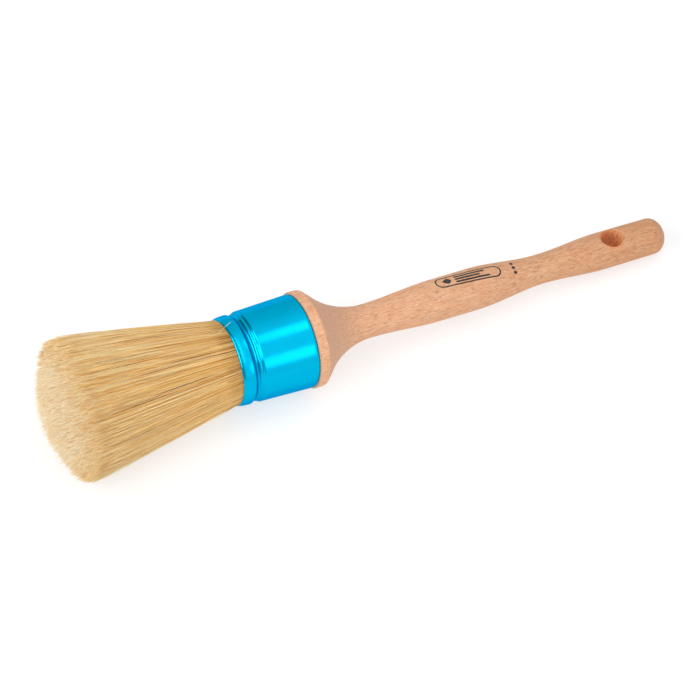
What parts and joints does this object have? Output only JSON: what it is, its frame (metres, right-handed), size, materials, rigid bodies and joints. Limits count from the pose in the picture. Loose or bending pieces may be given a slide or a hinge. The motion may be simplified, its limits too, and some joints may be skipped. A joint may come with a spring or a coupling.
{
  "type": "round stencil brush",
  "caption": "Round stencil brush: turned beech handle with a hanging hole, beaded aluminium ferrule and a flared, domed bundle of natural bristle.",
  "frame": {"origin": "centre of the hanging hole, on the brush's axis", "axes": "+X along the brush's axis, from the bristles towards the rounded end of the handle; +Z along the hanging hole; +Y completes the right-handed frame"},
  "size_m": [0.3541, 0.073, 0.0726],
  "materials": {
    "beech": "matte",
    "anodised_aluminium": "satin",
    "bristle": "satin",
    "plug_wood": "matte",
    "resin": "satin",
    "glue": "matte"
  },
  "bodies": {
    "root": {"handle": "beech", "ferrule": "anodised_aluminium", "bristle_bundle": "bristle", "core_plug": "plug_wood", "resin_setting": "resin", "spigot_glue": "glue"}
  },
  "joints": []
}
